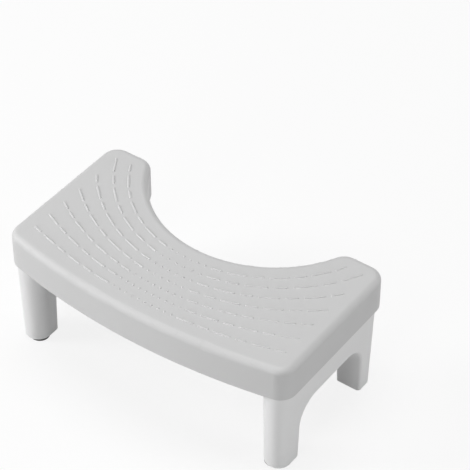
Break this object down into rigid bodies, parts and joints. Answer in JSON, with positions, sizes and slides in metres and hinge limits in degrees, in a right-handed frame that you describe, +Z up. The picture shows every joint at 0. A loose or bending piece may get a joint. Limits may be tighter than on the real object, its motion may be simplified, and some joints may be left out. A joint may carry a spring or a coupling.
{
  "type": "toilet footstool",
  "caption": "Low step stool with a kidney-shaped tread, notched to fit round a toilet base, on two push-in leg frames with rubber feet.",
  "frame": {"origin": "on the floor, under the middle of the stool's plan box", "axes": "+X along the length to the right, +Y from the front bow to the rear notch, +Z up"},
  "size_m": [0.42, 0.2374, 0.1759],
  "materials": {
    "satin_plastic": "satin moulded polypropylene, pale grey-white",
    "white_plastic": "smooth moulded polypropylene, white",
    "foot_rubber": "matt moulded rubber"
  },
  "bodies": {
    "top": {"tread_top": "satin_plastic"},
    "left_frame": {"left_leg_frame": "white_plastic", "left_front_foot": "foot_rubber", "left_rear_foot": "foot_rubber"},
    "right_frame": {"right_leg_frame": "white_plastic", "right_front_foot": "foot_rubber", "right_rear_foot": "foot_rubber"}
  },
  "joints": [
    {"name": "left_frame_pull", "type": "slide", "parent": "top", "child": "left_frame", "axis": [0, 0, -1], "range_m": [0, 0.046]},
    {"name": "right_frame_pull", "type": "slide", "parent": "top", "child": "right_frame", "axis": [0, 0, -1], "range_m": [0, 0.046]}
  ]
}
